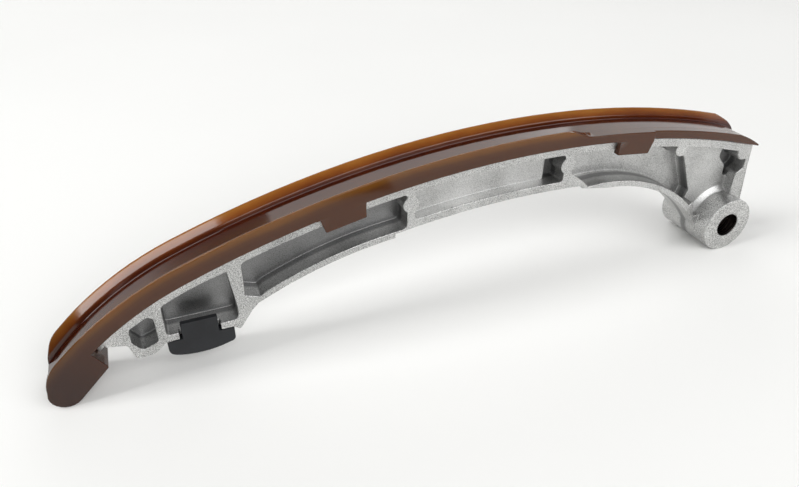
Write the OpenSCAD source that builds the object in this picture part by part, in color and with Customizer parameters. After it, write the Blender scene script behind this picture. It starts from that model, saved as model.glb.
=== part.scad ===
// Timing chain tensioner guide: a die-cast arm that swings on a pivot bore, a lipped nylon shoe that the
// chain runs on, and a clip-on plunger pad. X runs along the arm, Y along the pivot and Z up; the origin is
// the middle of the pivot bore.

/* [Main size] */
// Reach from the pivot axis to the nose; the running curve and the places along it follow
reach = 261; // [248:1:274]

/* [Pivot boss] */
// Diameter of the pivot bore
bore_d = 10; // [8:0.1:14]
// Outer diameter of the boss
boss_d = 23.2; // [20:0.1:28]
// Length of the boss along the pivot
boss_len = 26; // [20:0.5:34]
// Flare where the boss meets the plateau
boss_flare = 2; // [1:0.1:2.6]
// Chamfer at both mouths of the bore
bore_chamfer = 0.3; // [0.2:0.1:1]

/* [Running curve] */
// Turn from the crown, in degrees, at which the tighter stretch begins
tip_turn = 20.6097; // [19:0.0001:22]
// Turn from the crown, in degrees, at which the running face ends in the nose
nose_turn = 49.86; // [48:0.01:52]

/* [Guide shoe] */
// Width of the shoe over both lips
shoe_w = 18; // [17:0.1:20]
// Thickness of the plate under the chain
plate_t = 3.2; // [2.6:0.1:4]
// Height of the lips above the running face
lip_h = 3.1; // [2.4:0.1:4]
// Width of the running face between the feet of the lips
run_w = 9.5; // [8:0.1:11]
// Height of the upright part of a lip's inner wall
lip_wall_h = 1.5; // [1:0.1:2]
// Width of the narrow crest of a lip
lip_crest_w = 0.8; // [0.5:0.1:1.2]
// Turn from the crown, in degrees, at which the front lip ends
front_lip_turn = -2.882; // [-3.5:0.002:-2.3]
// Length of the S-shaped run-out at the end of the front lip
lip_runout_l = 14; // [10:0.5:20]
// Overhang of the plate past the arm's end
plate_over = 0.5; // [0.3:0.1:1.5]
// Steepest slope, in degrees, of the plate's rounded pivot end
end_slope = 33; // [31:0.5:36]
// Radius of the plate's rounded pivot end
end_r = 60; // [50:1:75]
// Length over which the back lip falls at the pivot end
lip_fall_l = 13.2; // [12:0.1:15]
// Radius in which the back lip falls
lip_fall_r = 18; // [14:0.5:24]
// Thickness of the plate's edge at the pivot end
end_t = 0.7; // [0.5:0.1:1.2]
// Set-back of the plate's front edge beyond the second tab
edge_set = 1.2; // [0.5:0.1:1.6]
// Radius of the round nose
nose_r = 5.1; // [4.5:0.1:5.8]
// Length of the chin that hooks under the arm's tip
chin_len = 14.4; // [13.5:0.1:15.5]

/* [Clip tabs] */
// Width of a clip tab
tab_w = 15.7; // [12:0.1:18]
// Step back of a clip tab's outer face from the shoe's side
tab_inset = 0.1; // [0.05:0.05:0.3]
// Taper of each side of a clip tab
tab_taper = 0.9; // [0.3:0.1:1.5]
// Drop of a clip tab below the plate
tab_drop = 5.2; // [4.7:0.1:6]
// Turn from the crown, in degrees, of the first tab's middle
tab_turn_1 = 12.175; // [11.2:0.005:13]
// Turn from the crown, in degrees, of the second tab's middle
tab_turn_2 = -5.932; // [-6.5:0.002:-5.3]
// Reach of the barb that snaps under the arm's top rim
barb = 1; // [0.6:0.1:1.2]

/* [Arm casting] */
// Thickness of the arm across its rims
arm_t = 14; // [13:0.1:15.4]
// Depth of the top rim below the shoe
top_rim = 3.5; // [2.8:0.1:4]
// Depth of the lower rim at the two deep pockets
low_rim = 2.4; // [1.8:0.1:3.2]
// Depth of the lower rim at the shallow middle panel
mid_rim = 3; // [2.4:0.1:3.6]
// Thickness of the web between front and back pockets
web_t = 2.5; // [2:0.1:3]
// Depth of the pad recess and the long pocket
deep = 8; // [6.5:0.1:8.5]
// Depth of the shallow middle panel
panel_deep = 4.8; // [3:0.1:6]
// Depth of the pocket next to the boss
root_deep = 9.8; // [8:0.1:10]
// Depth of the plateau beside the boss
plateau_deep = 4.5; // [3:0.1:6]
// Width of the ribs between the pockets
rib_w = 3.1; // [2.4:0.1:4]
// Width of the deep slot at the panel's end
slot_w = 5.4; // [4:0.1:8]
// Radius of the round ejector lands
land_r = 3; // [2.6:0.1:3.4]
// Turn from the crown, in degrees, of the rib at the long pocket's end
rib_turn_1 = 8.384; // [7.9:0.002:8.8]
// Turn from the crown, in degrees, of the rib at the panel's end
rib_turn_2 = -1.296; // [-1.7:0.002:-0.9]

/* [Plunger pad] */
// Length of the pad
pad_l = 21; // [19:0.1:22]
// Height of the pad's body below the arm's bar
pad_h = 7.1; // [6:0.1:8]
// Radius of the pad's bearing face
pad_face_r = 30; // [24:1:40]
// Width of the pad's clip tongues
tongue_w = 11.5; // [9:0.1:12.5]
// Height of the clip tongues above the bar
tongue_rise = 3.1; // [2:0.1:4]

/* [Fits] */
// Gap between the shoe and the arm's top
seat_gap = 0.1; // [0.05:0.05:0.2]
// Gap beside a clip tab or a tongue
clip_gap = 0.1; // [0.05:0.05:0.2]

/* [Hidden] */
$fn = 240;
eps = 0.01;

// Scale of everything that follows the reach
k = reach / 261;
// A length past every edge
over = reach / 4;

// Crown and radii of the running face: a long stretch, then a tighter one towards the nose
crown_dist = k * 91;
crown_h = k * 50;
run_r = round(k * 35800) / 100;
tip_r = round(k * 10400) / 100;
run_c = [-crown_dist, crown_h - run_r];
tip_c = run_c + (run_r - tip_r) * [-sin(tip_turn), cos(tip_turn)];
// The arm's top lies this far under the running face
arm_off = plate_t + seat_gap;
top_run = run_r - arm_off;
top_tip = tip_r - arm_off;

// A point at a turn from straight up towards the nose
function polar(c, r, a) = c + r * [-sin(a), cos(a)];
function xzr(p, r = 0) = [p[0], p[1], r];
function arc(c, r, a0, a1, n) = [for (i = [0:n]) xzr(polar(c, r, a0 + (a1 - a0) * i / n))];
// The distance back from the pivot at a turn, and the turn at which a circle passes a distance
function run_dist(a) = crown_dist + run_r * sin(a);
function run_turn(dist, r) = asin((dist - crown_dist) / r);
function run_z(dist, off) = run_c[1] + sqrt(pow(run_r + off, 2) - pow(dist - crown_dist, 2));
// The height of a circle's upper half at x
function top_z(c, r, x) = c[1] + sqrt(r * r - pow(x - c[0], 2));
function unit(v) = v / norm(v);
// The corner of an outline rounded with its third value, limited by its two edges
function corner(a, p, b, r) =
    let (u = unit(a - p), v = unit(b - p), half = acos(max(-1, min(1, u * v))) / 2)
    let (t = min(r / tan(half), 0.45 * norm(a - p), 0.45 * norm(b - p)), q = t * tan(half))
    let (c = p + unit(u + v) * (q / sin(half)), s = p + u * t - c, e = p + v * t - c)
    let (w = 180 - 2 * half, n = max(1, ceil(w / 24)))
    [for (i = [0:n]) c + (s * sin(w * (1 - i / n)) + e * sin(w * i / n)) / sin(w)];
function flat(p) = [p[0], p[1]];
function soft(pts) = let (m = len(pts))
    [for (i = [0:m - 1]) each pts[i][2] <= 0 ? [flat(pts[i])]
        : corner(flat(pts[(i + m - 1) % m]), flat(pts[i]), flat(pts[(i + 1) % m]), pts[i][2])];

// An outline in X and Z drawn out from y0 to y1
module slab(y0, y1) {
    translate([0, y1, 0])
        rotate([90, 0, 0])
            linear_extrude(y1 - y0)
                children();
}

// The frame in which both stretches of the running curve start: X points out along the line of their centres
module joint_frame() {
    translate([run_c[0], 0, run_c[1]])
        rotate([90, 0, 0])
            rotate([0, 0, 90 + tip_turn])
                children();
}

// A section swept along the long stretch, from turn a1 to turn a0
module sweep_run(a0, a1 = tip_turn) {
    joint_frame()
        rotate([0, 0, a1 - tip_turn])
            rotate_extrude(angle = a0 - a1)
                translate([run_r, 0])
                    children();
}

// A section swept along the tighter stretch, as far as turn a1
module sweep_tip(a1) {
    joint_frame()
        translate([run_r - tip_r, 0, 0])
            rotate_extrude(angle = a1 - tip_turn)
                translate([tip_r, 0])
                    children();
}

// Guide shoe

// The arm's end past the pivot axis, and the plate's end and edge over it
end_x = k * 9.7;
shoe_over = end_x + plate_over;
end_c = [shoe_over, run_z(-shoe_over, -plate_t) + end_t] - end_r * [sin(end_slope), cos(end_slope)];
end_turn = run_turn(-shoe_over - 4, run_r);
front_lip_dist = run_dist(front_lip_turn);
band_end = nose_turn - 4.4;
nose_c = polar(tip_c, tip_r - nose_r, nose_turn);
hook_turn = nose_turn - 9.2;
hook_in = polar(tip_c, tip_r - plate_t, hook_turn);
chin_start = nose_c + nose_r * [cos(45), -sin(45)];
chin_tip = chin_start + chin_len * [cos(45), sin(45)];
// Rounds at both ends of a lip start a little proud, so that they cross the ridge instead of grazing it
lip_end_r = 14;
lip_end_c = polar(tip_c, tip_r + lip_h - lip_end_r + 0.05, band_end);
lip_fall_turn = run_turn(lip_fall_l - shoe_over, run_r + lip_h);
lip_fall_c = polar(run_c, run_r + lip_h - lip_fall_r + 0.25, lip_fall_turn);

// Half section of the channel between the lips: foot, upright wall, leaning top, crest
function half_channel(s) = [
    [0, s * run_w / 2],
    [lip_wall_h, s * (run_w / 2 + 0.45)],
    [lip_h, s * (shoe_w / 2 - lip_crest_w)],
];

module band_section() {
    translate([-plate_t, -shoe_w / 2])
        square([plate_t + lip_h, shoe_w]);
}

module channel_section() {
    side = shoe_w / 2 - lip_crest_w;
    polygon(concat(half_channel(-1), [[3 * lip_h, -side], [3 * lip_h, side]],
        [for (i = [2:-1:0]) half_channel(1)[i]]));
}

// The front lip is gone beyond its run-out: everything above the plate's front edge
module open_section() {
    translate([-2 * eps, run_w / 2 - 0.3])
        square([3 * lip_h, shoe_w / 2]);
}

module nose() {
    slab(-shoe_w / 2, shoe_w / 2)
        polygon(soft(concat(
            [for (i = [0:9]) xzr(nose_c + nose_r * [cos(-45 - 15 * i), sin(-45 - 15 * i)])],
            arc(lip_end_c, lip_end_r, 88, band_end - 8, 9),
            [xzr(polar(tip_c, tip_r - 1, nose_turn - 7)), xzr(hook_in + unit(hook_in - chin_tip)),
                xzr(chin_tip, 0.8)])));
}

// What lies past a round at the pivot end
module past_round(c, r) {
    x0 = c[0] + r * sin(10);
    difference() {
        polygon([[x0, c[1]], [shoe_over, 0], [over, 0], [over, 2 * over], [x0, 2 * over]]);
        intersection() {
            translate(c) circle(r = r);
            strip(x0 - 1, shoe_over);
        }
    }
}

// What lies past both the back lip's fall and the plate's round
module past_lip() {
    intersection() {
        past_round(lip_fall_c, lip_fall_r);
        past_round(end_c, end_r);
    }
}

// A clip tab outside one face of the arm, with its barb under the top rim
module tab(a, s) {
    p = polar(run_c, run_r - arm_off, a);
    out = shoe_w / 2 - tab_inset;
    inn = arm_t / 2 + clip_gap;
    root_h = plate_t / 2;
    top_w = tab_w / 2;
    low_w = top_w - tab_taper;
    rim_sag = low_w * low_w / run_r;
    translate([p[0], 0, p[1]])
        rotate([0, -a, 0]) {
            slab(s > 0 ? inn : -out, s > 0 ? out : -inn)
                polygon([[-low_w, -tab_drop], [low_w, -tab_drop], [top_w, root_h], [-top_w, root_h]]);
            translate([-low_w, s > 0 ? inn - barb : -inn - eps, -tab_drop])
                cube([2 * low_w, barb + eps, tab_drop - top_rim - clip_gap - rim_sag]);
        }
}

module shoe() color("saddlebrown") {
    start = front_lip_dist + lip_runout_l;
    past = front_lip_dist - 3;
    set_turn = run_turn(run_dist(tab_turn_2) - tab_w / 2 - 0.2, run_r);
    difference() {
        union() {
            sweep_run(end_turn) band_section();
            sweep_tip(band_end) band_section();
            nose();
            for (a = [tab_turn_1, tab_turn_2], s = [-1, 1])
                tab(a, s);
        }
        sweep_run(end_turn - 1) channel_section();
        sweep_tip(nose_turn + 8) channel_section();
        // The front lip runs out in an S, then the plate's edge is open
        sweep_run(end_turn - 1, run_turn(front_lip_dist - eps, run_r)) open_section();
        slab(-shoe_w / 2 - 1, -run_w / 2 + 0.3)
            polygon(concat([for (i = [0:12]) let (d = start - lip_runout_l * i / 12)
                [-d, run_z(d, 3 * eps + (lip_h + 2 * eps) * (1 + cos(15 * i)) / 2)]],
                [[-past, run_z(past, 3 * eps)], [-past, 2 * over], [-start, 2 * over]]));
        // The plate's front edge steps back past the second tab
        sweep_run(end_turn - 1, set_turn)
            translate([-plate_t - 1, shoe_w / 2 - edge_set])
                square([plate_t + 2, edge_set + 1]);
        // The plate rounds down to a thin edge, and the back lip falls to it more steeply
        slab(-shoe_w, run_w / 2) past_round(end_c, end_r);
        slab(run_w / 2, shoe_w) past_lip();
    }
}

// Arm casting

// Bar that the pad clips to
pad_dist = k * 214.1;
bar_z0 = k * 2.75;
bar_z1 = k * 5.4;
pad_x0 = -pad_dist - pad_l / 2;
pad_x1 = -pad_dist + pad_l / 2;
recess_x0 = k * -224.2;
recess_x1 = k * -201.7;
recess_lean = k * 1.7;
// Depth of the slots in the bar, and the room beside a tongue in them
slot_deep = 2.6;
slot_room = 0.7;
// Lower outline before and behind the pad
arm_tip = polar(tip_c, top_tip, nose_turn - 12.2);
tip_wall = 3.2;
toe = k * [[-236, 5], [-234.2, -1.1], [-228.4, -0.6]];
heel = k * [[-201.6, 1.2], [-196.4, 8.6]];
tip_hole = k * [[-234.6, 5.6], [-234.5, 10.6], [-228.6, 13.9], [-227, 12.6], [-226.9, 3.9], [-232, 2.1]];
tip_hole_r = 1.4;
// Three arcs of the underside, the two steps between them, and the long pocket's near end
under_c = k * [-130.7, -121.7];
under_r = k * 146.4;
mid_c = k * [-92.9, -283.8];
mid_r = k * 313.8;
root_c = k * [-65, -39];
root_r = k * 65.5;
rib_dist_1 = run_dist(rib_turn_1);
rib_dist_2 = run_dist(rib_turn_2);
step_1 = -rib_dist_1 - 4;
step_2 = -rib_dist_2 + rib_w + 6.3;
step_z = k * 28.2;
low_x = step_1 - k * 46;
long_start = k * [[-198.7, 14], [-194, 12.4]];
long_end_z = k * 26.6;
// Walls of the pocket, the plateau and the ear beside the boss
root_x0 = -rib_dist_2 + rib_w;
root_low = [step_2 + 0.4, k * 30.8];
root_high_z = k * 36;
root_wall = k * [[-26, 33], [-22.6, 30.4], [-15.8, 14.4], [-17, 10.5]];
plateau_foot = k * [[-14, 4], [3, 4]];
plateau_wall = k * [[1.2, 30], [3.4, 27], [6.4, 26.4], [6.4, 22.8], [3, 20.6]];
ear_wall = k * [[-2.5, 34], [-3.6, 27.5], [0.6, 23], [1, 18.4], [8, 17], [12, 34]];
lands = [[-rib_dist_1 + land_r / 2, k * 35.3], [-rib_dist_2 + land_r / 2, k * 38.9], k * [-29.5, 36.8],
    k * [4.4, 29.6]];

module strip(x0, x1) {
    translate([x0, -3 * over])
        square([x1 - x0, 6 * over]);
}

// Everything above the arm's top, on either side of the line where the two arcs meet
module above_run() {
    a = polar(run_c, run_r - over / 2, tip_turn + 0.3);
    b = polar(run_c, run_r + over, tip_turn + 0.3);
    difference() {
        polygon([a, b, [over, 2 * over], [over, 0]]);
        translate(run_c) circle(r = top_run);
    }
}

module above_tip() {
    a = polar(run_c, run_r - over / 2, tip_turn);
    b = polar(run_c, run_r + over, tip_turn);
    difference() {
        polygon([a, b, [-5 * over, 2 * over], [-5 * over, -over]]);
        translate(tip_c) circle(r = top_tip);
    }
}

module arm_outline() {
    difference() {
        polygon(soft([
            xzr([arm_tip[0], over]), xzr(arm_tip - [0, tip_wall], 0.4), xzr(toe[0], 1.4), xzr(toe[1], 1),
            xzr(toe[2], 3), xzr([pad_x0 - 0.3, bar_z0], 0.4), xzr([pad_x1 - 0.2, bar_z0]), xzr(heel[0], 0.8),
            xzr(heel[1], 6), xzr([low_x - 1, top_z(under_c, under_r, low_x - 1)]), xzr([low_x - 1, -2]),
            xzr([0, -2]), xzr([end_x, 5]), xzr([end_x - 2, over / 2]), xzr([end_x - 2, over])]));
        above_run();
        above_tip();
        intersection() {
            translate(under_c) circle(r = under_r);
            strip(low_x - 2, step_1);
        }
        intersection() {
            translate(mid_c) circle(r = mid_r);
            strip(step_1 - eps, step_2 + eps);
        }
        intersection() {
            union() {
                translate(root_c) circle(r = root_r);
                polygon([[step_2, step_z], root_c + [5, root_r - 0.4], root_c, [step_2, 0]]);
            }
            strip(step_2, 0);
        }
    }
}

// Pocket outlines, each closed by the top rim

module tip_pocket() {
    polygon(soft([for (p = tip_hole) xzr(p, tip_hole_r)]));
}

module pad_recess() {
    rim = top_tip - top_rim;
    a0 = asin((tip_c[0] - recess_x0) / rim);
    a1 = asin((tip_c[0] - recess_x1 + recess_lean) / rim);
    polygon(soft(concat([xzr([recess_x0, bar_z1], 1)], [xzr(polar(tip_c, rim, a0), 2)],
        arc(tip_c, rim, a0 - 1.5, a1, 8),
        [xzr([recess_x1, 2 * bar_z1]), xzr([recess_x1, bar_z1], 2)])));
}

module long_pocket() {
    rim = top_run - top_rim;
    start = long_start[0];
    low = under_r + low_rim;
    polygon(soft(concat([xzr(start, 0.8), xzr(polar(run_c, rim, run_turn(-start[0], rim)), 2)],
        arc(run_c, rim, run_turn(-start[0] - 3, rim), run_turn(rib_dist_1 + 3, rim), 10),
        [xzr(polar(run_c, rim, run_turn(rib_dist_1, rim)), 1), xzr([-rib_dist_1, long_end_z], 2)],
        [for (i = [0:7]) let (x = step_1 + (low_x + 1.2 - step_1) * i / 7) xzr([x, top_z(under_c, low, x)])],
        [xzr(long_start[1], 0.8)])));
}

module panel() {
    rim = top_run - top_rim;
    x0 = -rib_dist_1 + rib_w;
    x1 = -rib_dist_2;
    low = mid_r + mid_rim;
    polygon(soft(concat([xzr([x0, top_z(mid_c, low, x0)], 1)],
        [xzr(polar(run_c, rim, run_turn(-x0, rim)), 1)],
        arc(run_c, rim, run_turn(-x0 - 3, rim), run_turn(-x1 + 3, rim), 10),
        [xzr(polar(run_c, rim, run_turn(-x1, rim)), 1), xzr([x1, top_z(mid_c, low, x1)], 1)],
        [for (i = [1:7]) let (x = x1 + (x0 - x1) * i / 8) xzr([x, top_z(mid_c, low, x)])])));
}

// The deep slot at the panel's end
module panel_slot() {
    intersection() {
        panel();
        strip(-rib_dist_2 - slot_w, -rib_dist_2 + 1);
    }
}

module root_pocket() {
    rim = top_run - top_rim;
    low = root_r + low_rim;
    a0 = asin((root_c[0] - root_wall[3][0]) / low) + 1;
    a1 = asin((root_c[0] - step_2 - 2.4) / low);
    polygon(soft(concat([xzr([root_x0, root_high_z], 2), xzr(polar(run_c, rim, run_turn(-root_x0, rim)), 1)],
        arc(run_c, rim, run_turn(-root_x0 - 3, rim), run_turn(1 - root_wall[0][0], rim), 8),
        [for (p = root_wall) xzr(p, 1)],
        arc(root_c, low, a0, a1, 9),
        [xzr(root_low, 1.5)])));
}

module plateau() {
    rim = top_run - top_rim;
    wall = plateau_wall;
    polygon(soft(concat([xzr(plateau_foot[0]), xzr(root_wall[2] - [2, 0]), xzr(root_wall[0] - [2, 0])],
        arc(run_c, rim, run_turn(1 - root_wall[0][0], rim), run_turn(-1, rim), 6),
        [xzr(wall[0]), xzr(wall[1]), xzr(wall[2], 0.8), xzr(wall[3], 1), xzr(wall[4], 2)],
        [xzr(plateau_foot[1])])));
}

// The deep ear behind the end wall
module ear() {
    wall = ear_wall;
    intersection() {
        plateau();
        polygon(soft([xzr(wall[0]), xzr(wall[1], 2), xzr(wall[2], 2), xzr(wall[3], 1.5), xzr(wall[4]),
            xzr(wall[5])]));
    }
}

module pocket(depth) {
    front(depth) children();
    back(depth) children();
}

module front(depth) {
    slab(-arm_t / 2 - 1, -arm_t / 2 + depth) children();
}

// The back of a pocket leaves a web behind the front's floor
module back(depth) {
    slab(-arm_t / 2 + depth + web_t, arm_t / 2 + 1) children();
}

// The tongue that sits in the shoe's hook
module tip_tongue() {
    f = unit(chin_tip - hook_in);
    g = [-f[1], f[0]];
    a = hook_in + 1.2 * f + 0.35 * g;
    b = hook_in + 3.4 * f + 0.35 * g;
    slab(-arm_t / 2 + 2, arm_t / 2 - 2)
        intersection() {
            translate(tip_c) circle(r = top_tip);
            polygon([a, b, arm_tip + [1, 0.4 - tip_wall], arm_tip + [1, 6], a + [0, 6]]);
        }
}

module arm() color("silver") {
    difference() {
        union() {
            difference() {
                slab(-arm_t / 2, arm_t / 2) arm_outline();
                pocket(deep - 1) tip_pocket();
                pocket(deep) pad_recess();
                pocket(deep) long_pocket();
                front(panel_deep) panel();
                front(deep) panel_slot();
                back(panel_deep) difference() {
                    panel();
                    strip(-rib_dist_2 - slot_w - web_t, -rib_dist_2 + 1);
                }
                pocket(root_deep) root_pocket();
                front(plateau_deep) plateau();
                front(deep) ear();
                // Slots in the bar that the pad's clip tongues pass
                for (s = [-1, 1])
                    translate([-pad_dist, s * (arm_t / 2 - slot_deep / 2 + 0.5), (bar_z0 + bar_z1) / 2])
                        cube([tongue_w + 2 * slot_room, slot_deep + 1, bar_z1 - bar_z0 + 2], center = true);
            }
            intersection() {
                slab(-arm_t / 2, arm_t / 2)
                    for (p = lands)
                        translate(p) circle(r = land_r);
                slab(-arm_t, arm_t) arm_outline();
            }
            rotate([90, 0, 0])
                cylinder(d = boss_d, h = boss_len, center = true);
            // The boss flares where it meets the plateau
            intersection() {
                translate([0, -arm_t / 2 + plateau_deep + eps, 0])
                    rotate([90, 0, 0])
                        cylinder(d1 = boss_d + 2 * boss_flare, d2 = boss_d - 0.2, h = boss_flare + 0.1);
                slab(-arm_t, arm_t) arm_outline();
            }
            tip_tongue();
        }
        rotate([90, 0, 0])
            cylinder(d = bore_d, h = boss_len + 2, center = true);
        for (s = [0, 1])
            mirror([0, s, 0])
                translate([0, -boss_len / 2 - eps, 0])
                    rotate([-90, 0, 0])
                        cylinder(d1 = bore_d + 2 * bore_chamfer, d2 = bore_d - 0.2, h = bore_chamfer + 0.1);
    }
}

// Plunger pad

module pad() color("dimgray") {
    top = bar_z0 - clip_gap;
    low_c = [-pad_dist - 0.5, top - pad_h + pad_face_r];
    half = asin((pad_l / 2 - 4) / pad_face_r);
    side = low_c[1] - sqrt(pow(pad_face_r, 2) - pow(pad_l / 2, 2));
    slab(-arm_t / 2, arm_t / 2)
        polygon(soft(concat([xzr([pad_x0, top], 0.4)], [xzr([pad_x0, side], 2.4)],
            [for (i = [0:6]) let (a = -half + 2 * half * i / 6)
                xzr(low_c + pad_face_r * [sin(a), -cos(a)])],
            [xzr([pad_x1, side], 1.6), xzr([pad_x1, top], 0.4)])));
    for (s = [0, 1])
        mirror([0, s, 0])
            translate([-pad_dist - tongue_w / 2, -arm_t / 2, 0]) {
                translate([0, 0, top - 1])
                    cube([tongue_w, 2, bar_z1 + tongue_rise - top + 1]);
                translate([0.5, 0, bar_z1 + clip_gap])
                    cube([tongue_w - 1, 3.2, tongue_rise - 1.2]);
            }
}

arm();
shoe();
pad();
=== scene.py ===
"""A timing chain guide on a white table.

A die-cast arm carries a glossy brown running shoe and a black plunger pad.
"""

import math

import bmesh
import bpy
from bpy.props import FloatProperty, FloatVectorProperty, PointerProperty
from mathutils import Matrix, Vector


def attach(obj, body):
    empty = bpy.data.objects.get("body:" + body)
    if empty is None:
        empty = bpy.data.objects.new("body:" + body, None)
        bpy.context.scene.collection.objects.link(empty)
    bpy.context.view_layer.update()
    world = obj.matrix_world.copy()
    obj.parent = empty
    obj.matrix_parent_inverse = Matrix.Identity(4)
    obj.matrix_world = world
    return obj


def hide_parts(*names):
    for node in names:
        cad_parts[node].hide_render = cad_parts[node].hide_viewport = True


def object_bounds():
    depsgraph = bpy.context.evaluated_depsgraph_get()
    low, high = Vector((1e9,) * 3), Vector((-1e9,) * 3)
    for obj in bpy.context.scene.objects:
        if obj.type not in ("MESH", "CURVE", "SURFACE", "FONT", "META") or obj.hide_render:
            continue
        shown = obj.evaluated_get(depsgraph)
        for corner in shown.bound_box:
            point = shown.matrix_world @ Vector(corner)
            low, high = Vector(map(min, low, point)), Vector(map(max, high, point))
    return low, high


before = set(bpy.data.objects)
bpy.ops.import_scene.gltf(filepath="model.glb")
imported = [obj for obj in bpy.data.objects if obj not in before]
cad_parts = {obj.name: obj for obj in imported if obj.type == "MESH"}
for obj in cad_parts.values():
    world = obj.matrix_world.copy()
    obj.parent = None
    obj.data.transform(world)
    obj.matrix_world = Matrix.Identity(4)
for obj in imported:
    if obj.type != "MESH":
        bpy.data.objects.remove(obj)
CAD_BOX = [list(corner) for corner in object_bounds()]

bl_info = {
    "name": "Timing Chain Guide",
    "version": (1, 0, 0),
    "blender": (4, 5, 0),
    "location": "3D View > Sidebar > Guide",
    "description": "Finishes the arm, shoe and pad of a timing chain guide and sets it on a white table",
    "category": "Object",
}

MM = 0.001

# Corners of a solid that are this close are one corner
SAME_CORNER = 0.002 * MM
# Corners of the finished rounds that are this close are one corner
SAME_ROUND_CORNER = 0.004 * MM
# A step finer than this is levelled where a piece asks for it
FINE_STEP = 0.06 * MM
# Faces that turn less than this from one to the next are one flat face
FLAT_TURN = math.radians(0.4)
# Least breadth of a face beside a round, over the round's width
BROAD_SHARE = 0.5
# Over 50, large faces count for more in the shading
LARGE_FACE_WEIGHT = 80
# A face within this share of the bore's width from the axis is the bore's wall
BORE_REACH = 0.52

# Most of a noise texture lies from low to high, about the middle
NOISE_LOW = 0.3
NOISE_MIDDLE = 0.5
NOISE_HIGH = 0.7


# Colours and nodes


def linear(hex_colour):
    """A linear RGBA colour from an sRGB hex value."""
    channels = [int(hex_colour[i : i + 2], 16) / 255 for i in (1, 3, 5)]
    return [c / 12.92 if c <= 0.04045 else ((c + 0.055) / 1.055) ** 2.4 for c in channels] + [1.0]


def add(tree, kind, settings=None, **inputs):
    """Adds a node to a tree.

    Settings are its own values, or a ramp's stops. Inputs are values, or nodes and sockets to link. An input
    goes by its name, or by the letter i and its number where several share a name.
    """
    made = tree.nodes.new(kind)
    for name, value in (settings or {}).items():
        if name == "stops":
            elements = made.color_ramp.elements
            # A new stop starts midway, and gets its place below
            while len(elements) < len(value):
                elements.new(0.5)
            for element, (position, colour) in zip(elements, value):
                element.position = position
                element.color = linear(colour)
        else:
            setattr(made, name, value)
    for name, value in inputs.items():
        key = int(name[1:]) if name[0] == "i" and name[1:].isdigit() else name.replace("_", " ")
        if isinstance(value, bpy.types.Node):
            value = next(socket for socket in value.outputs if socket.enabled)
        if isinstance(value, bpy.types.NodeSocket):
            tree.links.new(value, made.inputs[key])
        else:
            made.inputs[key].default_value = value
    return made


def bare_material(name):
    """A new material with an empty node tree."""
    material = bpy.data.materials.new(name)
    material.use_nodes = True
    material.node_tree.nodes.clear()
    return material, material.node_tree


def grit(size):
    """The texture scale at which a noise shows grains of a size in metres."""
    return 1 / size


# Materials


def blasted_aluminium(look):
    """Die-cast aluminium, shot-blasted: dull silver, with a salt-and-pepper grain where the blast hits."""
    material, tree = bare_material("blasted_die_cast_aluminium")
    place = add(tree, "ShaderNodeTexCoord").outputs["Object"]
    # The real grit is finer than a pixel, so its grain is drawn about three times as coarse
    grain = add(tree, "ShaderNodeTexNoise", Vector=place, Scale=grit(look.grain), Detail=2.0, Roughness=0.6)
    cloud = add(tree, "ShaderNodeTexNoise", Vector=place, Scale=grit(14 * MM), Detail=4.0, Roughness=0.55)
    # The outer faces lie furthest from the arm's middle plane, and the pocket floors stay smoother
    depth = add(tree, "ShaderNodeSeparateXYZ", Vector=place).outputs["Y"]
    off_middle = add(tree, "ShaderNodeMath", {"operation": "ABSOLUTE"}, i0=depth)
    outer = add(
        tree,
        "ShaderNodeMapRange",
        Value=off_middle,
        From_Min=5.6 * MM,
        From_Max=6.9 * MM,
        To_Min=0.75,
        To_Max=1.15,
    )
    centred = add(tree, "ShaderNodeMath", {"operation": "SUBTRACT"}, i0=grain, i1=NOISE_MIDDLE)
    shown = add(tree, "ShaderNodeMath", {"operation": "MULTIPLY"}, i0=centred, i1=outer)
    # The cloud drifts about the middle, with a share of its strength
    drift_share = 0.25
    drift_rest = NOISE_MIDDLE * (1 - drift_share)
    drift = add(
        tree,
        "ShaderNodeMath",
        {"operation": "MULTIPLY_ADD"},
        i0=cloud,
        i1=drift_share,
        i2=drift_rest,
    )
    level = add(tree, "ShaderNodeMath", {"operation": "ADD"}, i0=shown, i1=drift)
    tone = add(
        tree,
        "ShaderNodeValToRGB",
        {"stops": ((0.3, "#5c5c5b"), (0.46, "#bebebd"), (0.56, "#cfcfce"), (0.72, "#f2f2f0"))},
        Fac=level,
    )
    # The deepest floors, near the middle plane, are painted darker: painted shade for the deep pockets
    deep_floor_shade = add(
        tree,
        "ShaderNodeMapRange",
        Value=off_middle,
        From_Min=1 * MM,
        From_Max=2.1 * MM,
        To_Min=0.6,
        To_Max=0.0,
    )
    tone_with_floor_shade = add(tree, "ShaderNodeMix", {"data_type": "RGBA"}, i0=deep_floor_shade, i6=tone, i7=linear("#4c4c4e"))
    rough = add(
        tree,
        "ShaderNodeMapRange",
        Value=grain,
        From_Min=NOISE_LOW,
        From_Max=NOISE_HIGH,
        To_Min=0.36,
        To_Max=0.5,
    )
    bump = add(tree, "ShaderNodeBump", Strength=0.5, Distance=0.1 * MM, Height=shown)
    shader = add(
        tree,
        "ShaderNodeBsdfPrincipled",
        Base_Color=tone_with_floor_shade,
        Roughness=rough,
        Normal=bump,
        Metallic=1.0,
    )
    add(tree, "ShaderNodeOutputMaterial", Surface=shader)
    return material


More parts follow.
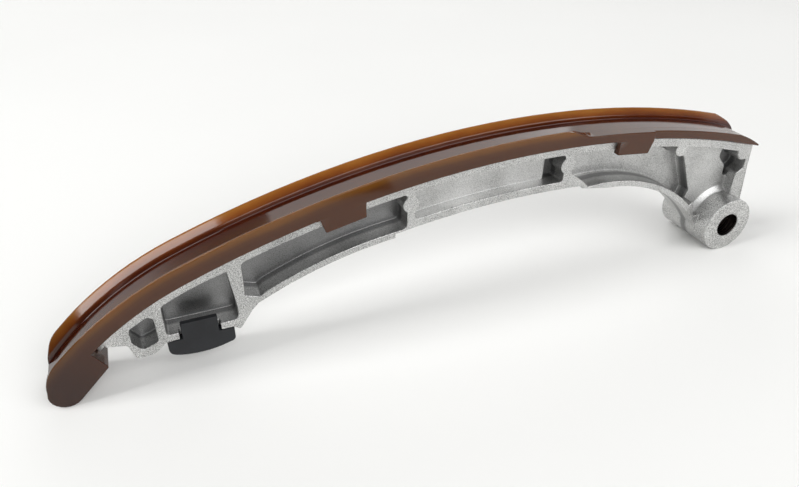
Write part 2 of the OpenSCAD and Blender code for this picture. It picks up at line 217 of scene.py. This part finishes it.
def reamed_aluminium():
    """Aluminium, reamed: a smooth bore painted dark, as painted shade inside it, with fine rings that catch
    a glint.
    """
    material, tree = bare_material("reamed_aluminium_bore")
    place = add(tree, "ShaderNodeTexCoord").outputs["Object"]
    # The noise is drawn out across the bore, so that it changes along the bore alone
    drawn_out = (0.05, 1.0, 0.05)
    along = add(tree, "ShaderNodeVectorMath", {"operation": "MULTIPLY"}, i0=place, i1=drawn_out)
    rings = add(tree, "ShaderNodeTexNoise", Vector=along, Scale=grit(0.5 * MM), Detail=2.0)
    # The wall's tone is painted dark: painted shade for the inside of the bore
    tone = add(
        tree,
        "ShaderNodeValToRGB",
        {"stops": ((NOISE_LOW, "#59514e"), (NOISE_HIGH, "#8a817d"))},
        Fac=rings,
    )
    rough = add(
        tree,
        "ShaderNodeMapRange",
        Value=rings,
        From_Min=NOISE_LOW,
        From_Max=NOISE_HIGH,
        To_Min=0.22,
        To_Max=0.34,
    )
    bump = add(tree, "ShaderNodeBump", Strength=0.15, Distance=0.05 * MM, Height=rings)
    shader = add(
        tree,
        "ShaderNodeBsdfPrincipled",
        Base_Color=tone,
        Roughness=rough,
        Normal=bump,
        Metallic=1.0,
    )
    add(tree, "ShaderNodeOutputMaterial", Surface=shader)
    return material


def along_turn(turn):
    """The direction from an arc's centre to its point at a turn from the crown towards the nose."""
    return Vector((-math.sin(turn), 0, math.cos(turn)))


def brown_nylon(sizes):
    """Injection-moulded nylon, glossy: dark brown in the body, with a painted amber glow where light gets
    through the lips, and painted shade at the nose.
    """
    material, tree = bare_material("moulded_brown_nylon")
    place = add(tree, "ShaderNodeTexCoord").outputs["Object"]
    # Height over the running face, from the centres of its long stretch and its tighter stretch by the nose
    joint = sizes.tip_turn
    run_centre = Vector((-sizes.crown_back, 0, sizes.crown_height - sizes.run_radius))
    tip_centre = run_centre + along_turn(joint) * (sizes.run_radius - sizes.tip_radius)
    past_joint = Vector((-math.cos(joint), 0, -math.sin(joint)))
    side = add(tree, "ShaderNodeVectorMath", {"operation": "MULTIPLY"}, i0=place, i1=(1.0, 0.0, 1.0))
    from_run = add(tree, "ShaderNodeVectorMath", {"operation": "DISTANCE"}, i0=side, i1=run_centre)
    from_tip = add(tree, "ShaderNodeVectorMath", {"operation": "DISTANCE"}, i0=side, i1=tip_centre)
    over_run = add(tree, "ShaderNodeMath", {"operation": "SUBTRACT"}, i0=from_run, i1=sizes.run_radius)
    over_tip = add(tree, "ShaderNodeMath", {"operation": "SUBTRACT"}, i0=from_tip, i1=sizes.tip_radius)
    out = add(tree, "ShaderNodeVectorMath", {"operation": "SUBTRACT"}, i0=side, i1=run_centre)
    turned = add(tree, "ShaderNodeVectorMath", {"operation": "DOT_PRODUCT"}, i0=out, i1=past_joint)
    by_nose = add(tree, "ShaderNodeMath", {"operation": "GREATER_THAN"}, i0=turned, i1=0.0)
    over = add(tree, "ShaderNodeMix", {"data_type": "FLOAT"}, i0=by_nose, i2=over_run, i3=over_tip)
    flow = add(tree, "ShaderNodeTexNoise", Vector=place, Scale=grit(18 * MM), Detail=3.0)
    waver = add(
        tree,
        "ShaderNodeMapRange",
        Value=flow,
        From_Min=NOISE_LOW,
        From_Max=NOISE_HIGH,
        To_Min=-0.4 * MM,
        To_Max=0.4 * MM,
    )
    height = add(tree, "ShaderNodeMath", {"operation": "ADD"}, i0=over, i1=waver)
    # The lips are painted from dark brown at the running face to amber at their crests: painted glow of
    # light through the thin nylon
    share = add(tree, "ShaderNodeMapRange", Value=height, From_Min=-sizes.plate, From_Max=sizes.lip)
    front = add(
        tree,
        "ShaderNodeValToRGB",
        {"stops": ((0.35, "#43230f"), (0.6, "#4b2a12"), (0.8, "#5f3a13"), (1.0, "#6a4217"))},
        Fac=share,
    )
    back = add(
        tree,
        "ShaderNodeValToRGB",
        {"stops": ((0.52, "#3d150a"), (0.7, "#552409"), (0.88, "#7d4514"), (1.0, "#8f5a20"))},
        Fac=share,
    )
    # The back lip is painted as if lit through from behind: painted shade at its dark foot and painted glow
    # at its amber crest
    across = add(tree, "ShaderNodeSeparateXYZ", Vector=place).outputs["Y"]
    back_lip_glow = add(tree, "ShaderNodeMapRange", Value=across, From_Min=-3 * MM, From_Max=4.5 * MM)
    tone = add(tree, "ShaderNodeMix", {"data_type": "RGBA"}, i0=back_lip_glow, i6=front, i7=back)
    # The shoe is painted darker around the nose: painted shade, as the nose gets less of the light
    nose = tip_centre + along_turn(sizes.nose_turn) * (sizes.tip_radius - sizes.nose_round)
    off_nose = add(tree, "ShaderNodeVectorMath", {"operation": "DISTANCE"}, i0=side, i1=nose)
    painted_nose_shade = add(
        tree,
        "ShaderNodeMapRange",
        Value=off_nose,
        From_Min=0.8 * sizes.nose_round,
        From_Max=6 * sizes.nose_round,
        To_Min=0.7,
        To_Max=0.0,
    )
    body = add(tree, "ShaderNodeMix", {"data_type": "RGBA"}, i0=painted_nose_shade, i6=tone, i7=linear("#1d0c08"))
    haze = add(tree, "ShaderNodeTexNoise", Vector=place, Scale=grit(6 * MM), Detail=4.0, Roughness=0.6)
    rough = add(
        tree,
        "ShaderNodeMapRange",
        Value=haze,
        From_Min=NOISE_LOW,
        From_Max=NOISE_HIGH,
        To_Min=0.06,
        To_Max=0.11,
    )
    peel = add(tree, "ShaderNodeTexNoise", Vector=place, Scale=grit(1.5 * MM), Detail=2.0)
    bump = add(tree, "ShaderNodeBump", Strength=0.06, Distance=0.1 * MM, Height=peel)
    shader = add(
        tree,
        "ShaderNodeBsdfPrincipled",
        Base_Color=body,
        Roughness=rough,
        Normal=bump,
        IOR=1.53,
        Specular_IOR_Level=0.4,
        Subsurface_Weight=0.35,
        Subsurface_Radius=(1.0, 0.4, 0.12),
        Subsurface_Scale=1.2 * MM,
    )
    add(tree, "ShaderNodeOutputMaterial", Surface=shader)
    return material


def black_nylon():
    """Injection-moulded nylon, satin black: a faint even moulded grain and soft edges."""
    material, tree = bare_material("moulded_black_nylon")
    place = add(tree, "ShaderNodeTexCoord").outputs["Object"]
    grain = add(tree, "ShaderNodeTexNoise", Vector=place, Scale=grit(0.5 * MM), Detail=3.0)
    cloud = add(tree, "ShaderNodeTexNoise", Vector=place, Scale=grit(7 * MM), Detail=3.0)
    tone = add(
        tree,
        "ShaderNodeValToRGB",
        {"stops": ((NOISE_LOW, "#131417"), (NOISE_HIGH, "#1c1e22"))},
        Fac=cloud,
    )
    rough = add(
        tree,
        "ShaderNodeMapRange",
        Value=grain,
        From_Min=NOISE_LOW,
        From_Max=NOISE_HIGH,
        To_Min=0.42,
        To_Max=0.55,
    )
    bump = add(tree, "ShaderNodeBump", Strength=0.2, Distance=0.08 * MM, Height=grain)
    shader = add(
        tree,
        "ShaderNodeBsdfPrincipled",
        Base_Color=tone,
        Roughness=rough,
        Normal=bump,
        IOR=1.53,
        Specular_IOR_Level=0.35,
    )
    add(tree, "ShaderNodeOutputMaterial", Surface=shader)
    return material


def white_sheet():
    """Matt white paper: even, with no shine."""
    material, tree = bare_material("matt_white_paper")
    place = add(tree, "ShaderNodeTexCoord").outputs["Object"]
    cloud = add(tree, "ShaderNodeTexNoise", Vector=place, Scale=grit(300 * MM), Detail=2.0)
    tone = add(
        tree,
        "ShaderNodeValToRGB",
        {"stops": ((NOISE_LOW, "#f3f3f1"), (NOISE_HIGH, "#f6f6f4"))},
        Fac=cloud,
    )
    shader = add(tree, "ShaderNodeBsdfPrincipled", Base_Color=tone, Roughness=0.9, Specular_IOR_Level=0.1)
    add(tree, "ShaderNodeOutputMaterial", Surface=shader)
    return material


def dark_cloth():
    """Dark felt: it takes up light and shows a faint nap."""
    material, tree = bare_material("dark_felt")
    place = add(tree, "ShaderNodeTexCoord").outputs["Object"]
    nap = add(tree, "ShaderNodeTexNoise", Vector=place, Scale=grit(4 * MM), Detail=2.0)
    tone = add(
        tree,
        "ShaderNodeValToRGB",
        {"stops": ((NOISE_LOW, "#1c1c1c"), (NOISE_HIGH, "#242424"))},
        Fac=nap,
    )
    shader = add(tree, "ShaderNodeBsdfPrincipled", Base_Color=tone, Roughness=1.0, Specular_IOR_Level=0.1)
    add(tree, "ShaderNodeOutputMaterial", Surface=shader)
    return material


# Pieces


def breadth(face):
    """A face's area over its longest edge."""
    return face.calc_area() / max(side.calc_length() for side in face.edges)


def softened(node, name, width, segments, sharp, level_from=math.inf, plain=lambda point: False):
    """A copy of a solid that stands for it, with flat faces whole and its sharp edges rounded.

    Edges that turn more than sharp are the sharp ones. Fine steps are levelled where X is over level_from.
    An edge between two plain points gets no round.
    """
    piece = bpy.data.objects.new(name, bpy.data.meshes.new(name))
    bpy.context.scene.collection.objects.link(piece)
    bm = bmesh.new()
    bm.from_mesh(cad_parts[node].data)
    bmesh.ops.remove_doubles(bm, verts=bm.verts, dist=SAME_CORNER)
    stepped = [vert for vert in bm.verts if vert.co.x > level_from]
    bmesh.ops.remove_doubles(bm, verts=stepped, dist=FINE_STEP)
    bmesh.ops.dissolve_limit(bm, angle_limit=FLAT_TURN, verts=bm.verts, edges=bm.edges)
    for face in bm.faces:
        face.smooth = True
    weight = bm.edges.layers.float.new("bevel_weight_edge")
    for edge in bm.edges:
        if edge.calc_face_angle() > sharp:
            edge.smooth = not all(plain(vert.co) for vert in edge.verts)
            # A round needs two broad faces
            broad = min(breadth(face) for face in edge.link_faces) > BROAD_SHARE * width
            edge[weight] = float(edge.smooth and broad)
    bm.to_mesh(piece.data)
    bm.free()
    rounds = piece.modifiers.new("rounded_edges", "BEVEL")
    rounds.limit_method = "WEIGHT"
    rounds.width = width
    rounds.segments = segments
    rounds.use_clamp_overlap = False
    weld = piece.modifiers.new("closed_corners", "WELD")
    weld.merge_threshold = SAME_ROUND_CORNER
    normals = piece.modifiers.new("weighted_normals", "WEIGHTED_NORMAL")
    normals.weight = LARGE_FACE_WEIGHT
    normals.keep_sharp = True
    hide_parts(node)
    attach(piece, "root")
    return piece


# Properties


class GuideSizes(bpy.types.PropertyGroup):
    """Sizes that the finish follows."""

    arm_edge: FloatProperty(
        name="Arm edge",
        description="Round of the casting's edges",
        default=0.35 * MM,
        unit="LENGTH",
    )
    shoe_edge: FloatProperty(
        name="Shoe edge",
        description="Round of the shoe's edges",
        default=0.35 * MM,
        unit="LENGTH",
    )
    pad_edge: FloatProperty(
        name="Pad edge",
        description="Round of the pad's edges",
        default=0.4 * MM,
        unit="LENGTH",
    )
    bore: FloatProperty(
        name="Bore",
        description="Width of the pivot bore",
        default=10 * MM,
        unit="LENGTH",
    )
    crown_back: FloatProperty(
        name="Crown",
        description="From the pivot back to the crown",
        default=91 * MM,
        unit="LENGTH",
    )
    crown_height: FloatProperty(
        name="Crown height",
        description="Crown above the pivot",
        default=50 * MM,
        unit="LENGTH",
    )
    run_radius: FloatProperty(
        name="Run radius",
        description="Long stretch of the running face",
        default=358 * MM,
        unit="LENGTH",
    )
    tip_radius: FloatProperty(
        name="Tip radius",
        description="Tighter stretch by the nose",
        default=104 * MM,
        unit="LENGTH",
    )
    tip_turn: FloatProperty(
        name="Tip turn",
        description="Turn from the crown to the start of the tighter stretch",
        default=math.radians(20.6097),
        subtype="ANGLE",
    )
    nose_turn: FloatProperty(
        name="Nose turn",
        description="Turn from the crown to the nose",
        default=math.radians(49.86),
        subtype="ANGLE",
    )
    nose_round: FloatProperty(
        name="Nose round",
        description="Radius of the nose",
        default=5.1 * MM,
        unit="LENGTH",
    )
    plate: FloatProperty(
        name="Plate",
        description="Thickness under the chain",
        default=3.2 * MM,
        unit="LENGTH",
    )
    lip: FloatProperty(
        name="Lip",
        description="Height of the lips",
        default=3.1 * MM,
        unit="LENGTH",
    )
    lip_start: FloatProperty(
        name="Lip start",
        description="From the pivot back to the whole front lip",
        default=100 * MM,
        unit="LENGTH",
    )
    tip_start: FloatProperty(
        name="Tip start",
        description="From the pivot back to the lips' fall at the nose",
        default=252 * MM,
        unit="LENGTH",
    )
    tip_half: FloatProperty(
        name="Tip half",
        description="Half width inside the shoe's sides",
        default=8.9 * MM,
        unit="LENGTH",
    )
    crest_half: FloatProperty(
        name="Crest half",
        description="Half width inside the lips' crests",
        default=7 * MM,
        unit="LENGTH",
    )
    run_end: FloatProperty(
        name="Run end",
        description="From the pivot back to the running face's end",
        default=260.2 * MM,
        unit="LENGTH",
    )


class GuideLook(bpy.types.PropertyGroup):
    """Values of the finishes and of the stage."""

    grain: FloatProperty(
        name="Grain",
        description="Speckle of the blasted casting",
        default=0.32 * MM,
        unit="LENGTH",
    )
    backdrop: FloatVectorProperty(
        name="Backdrop",
        description="Colour around the table",
        default=(1, 1, 1),
        subtype="COLOR",
    )


# Operators


class GUIDE_OT_arm(bpy.types.Operator):
    """Finish the die-cast arm"""

    bl_idname = "guide.arm"
    bl_label = "Arm"

    def execute(self, context):
        sizes = context.scene.guide_sizes
        piece = softened("arm", "cast_arm", sizes.arm_edge, segments=2, sharp=math.radians(30))
        piece.data.materials.append(blasted_aluminium(context.scene.guide_look))
        piece.data.materials.append(reamed_aluminium())
        for face in piece.data.polygons:
            corners = [piece.data.vertices[index].co for index in face.vertices]
            reach = max(Vector((corner.x, corner.z)).length for corner in corners)
            if reach < BORE_REACH * sizes.bore:
                face.material_index = 1
        return {"FINISHED"}


class GUIDE_OT_shoe(bpy.types.Operator):
    """Finish the running shoe"""

    bl_idname = "guide.shoe"
    bl_label = "Shoe"

    def execute(self, context):
        sizes = context.scene.guide_sizes

        def lip_end(point):
            """Whether a point is where the lips run too thin for a round, or on the running face's end."""
            inside = abs(point.y) < sizes.tip_half
            crest = abs(point.y) > sizes.crest_half and point.x < -sizes.tip_start
            return inside and (crest or point.x < -sizes.run_end)

        piece = softened(
            "shoe",
            "running_shoe",
            sizes.shoe_edge,
            segments=3,
            sharp=math.radians(20),
            level_from=-sizes.lip_start,
            plain=lip_end,
        )
        piece.data.materials.append(brown_nylon(sizes))
        return {"FINISHED"}


class GUIDE_OT_pad(bpy.types.Operator):
    """Finish the plunger pad"""

    bl_idname = "guide.pad"
    bl_label = "Pad"

    def execute(self, context):
        sizes = context.scene.guide_sizes
        piece = softened("pad", "plunger_pad", sizes.pad_edge, segments=3, sharp=math.radians(30))
        piece.data.materials.append(black_nylon())
        return {"FINISHED"}


# Stage


def camera(scene):
    """The view from the front left and above."""
    place = Vector((-217.44, -180.52, 141.27)) * MM
    sight = Vector((0.321, 0.7791, -0.5384)).normalized()
    upright = Vector((0.1968, 0.5013, 0.8426))
    data = bpy.data.cameras.new("camera")
    data.sensor_width = 36
    data.lens = 29.74
    data.clip_start = 0.01
    data.clip_end = 20
    eye = bpy.data.objects.new("camera", data)
    right = sight.cross(upright).normalized()
    turn = Matrix((right, right.cross(sight), -sight)).transposed()
    eye.matrix_world = Matrix.Translation(place) @ turn.to_4x4()
    scene.collection.objects.link(eye)
    scene.camera = eye


def softbox(scene, name, place, aim, width, height, power):
    """An area lamp turned towards a point."""
    data = bpy.data.lights.new(name, "AREA")
    data.shape = "RECTANGLE"
    data.size = width
    data.size_y = height
    data.energy = power
    lamp = bpy.data.objects.new(name, data)
    lamp.location = place
    lamp.rotation_euler = (Vector(aim) - Vector(place)).to_track_quat("-Z", "Y").to_euler()
    scene.collection.objects.link(lamp)


def sheet(scene, name, size, place, material):
    """A flat sheet of the stage."""
    made = bpy.data.objects.new(name, bpy.data.meshes.new(name))
    scene.collection.objects.link(made)
    bm = bmesh.new()
    # The grid's size is its half width, so this one is a metre wide until it is scaled
    bmesh.ops.create_grid(bm, x_segments=1, y_segments=1, size=0.5)
    bmesh.ops.scale(bm, verts=bm.verts, vec=(*size, 1))
    bmesh.ops.transform(bm, verts=bm.verts, matrix=place)
    bm.to_mesh(made.data)
    bm.free()
    made.data.materials.append(material)
    return made


def studio(scene):
    """A world with a white wall all round under a dim ceiling."""
    world = bpy.data.worlds.new("studio")
    scene.world = world
    world.use_nodes = True
    tree = world.node_tree
    tree.nodes.clear()
    towards = add(tree, "ShaderNodeTexCoord").outputs["Generated"]
    rise = add(tree, "ShaderNodeSeparateXYZ", Vector=towards).outputs["Z"]
    strength = add(
        tree,
        "ShaderNodeMapRange",
        Value=rise,
        From_Min=0.3,
        From_Max=0.45,
        To_Min=1.0,
        To_Max=0.2,
    )
    sky = add(tree, "ShaderNodeBackground", Color=(*scene.guide_look.backdrop, 1), Strength=strength)
    add(tree, "ShaderNodeOutputWorld", Surface=sky)


class GUIDE_OT_stage(bpy.types.Operator):
    """Set the part on a white table under soft light"""

    bl_idname = "guide.stage"
    bl_label = "Stage"

    def execute(self, context):
        scene = context.scene
        scene.view_settings.view_transform = "Standard"
        camera(scene)
        level = CAD_BOX[0][2]
        sheet(scene, "table", (2.6, 2.6), Matrix.Translation((-0.12, 0, level)), white_sheet())
        # Dark cards in front and on the left keep white glare off the lips, and show only in the gloss
        felt = dark_cloth()
        lying = Matrix.Identity(4)
        standing = Matrix.Rotation(math.radians(90), 4, "X")
        sideways = Matrix.Rotation(math.radians(90), 4, "Z") @ standing
        # Each card's name, width and height, place over the table, and turn
        cards = (
            ("front_card", (3.4, 0.44), (0.1, -1.3, 0.22), standing),
            ("left_card", (2.0, 0.5), (-1.5, -0.3, 0.25), sideways),
            ("near_cloth", (0.5, 0.45), (-0.36, -0.33, MM), lying),
        )
        for name, size, (x, y, rise), turn in cards:
            card = sheet(scene, name, size, Matrix.Translation((x, y, level + rise)) @ turn, felt)
            card.visible_camera = False
            card.visible_diffuse = False
            card.visible_shadow = False
        studio(scene)
        # Each lamp's name, place, aim, width and height in metres, and power in watts
        lamps = (
            ("key", (0.5, -1.9, 1.5), (-0.1, 0, 0), 3.0, 1.5, 44.0),
            ("overhead_left", (-1.65, 0.1, 1.45), (-0.1, 0.1, 0), 0.8, 1.7, 26.0),
            ("back", (0.3, 1.4, 0.9), (0.1, 0.7, 0), 1.5, 0.8, 5.0),
        )
        for lamp in lamps:
            softbox(scene, *lamp)
        return {"FINISHED"}


# Panel and registration


class GUIDE_PT_panel(bpy.types.Panel):
    """Lists the guide's operators and values"""

    bl_idname = "GUIDE_PT_panel"
    bl_label = "Timing Chain Guide"
    bl_space_type = "VIEW_3D"
    bl_region_type = "UI"
    bl_category = "Guide"

    def draw(self, context):
        for operator in OPERATORS:
            self.layout.operator(operator.bl_idname)
        for group in (context.scene.guide_sizes, context.scene.guide_look):
            box = self.layout.box()
            for name in group.__annotations__:
                box.prop(group, name)


OPERATORS = (GUIDE_OT_arm, GUIDE_OT_shoe, GUIDE_OT_pad, GUIDE_OT_stage)
CLASSES = (GuideSizes, GuideLook, *OPERATORS, GUIDE_PT_panel)


def register():
    """Registers the classes and the scene's properties."""
    for cls in CLASSES:
        bpy.utils.register_class(cls)
    bpy.types.Scene.guide_sizes = PointerProperty(type=GuideSizes)
    bpy.types.Scene.guide_look = PointerProperty(type=GuideLook)


def unregister():
    """Takes the classes and the properties out again."""
    del bpy.types.Scene.guide_look
    del bpy.types.Scene.guide_sizes
    for cls in reversed(CLASSES):
        bpy.utils.unregister_class(cls)


def main():
    register()
    bpy.ops.guide.arm()
    bpy.ops.guide.shoe()
    bpy.ops.guide.pad()
    bpy.ops.guide.stage()


if __name__ == "__main__":
    main()
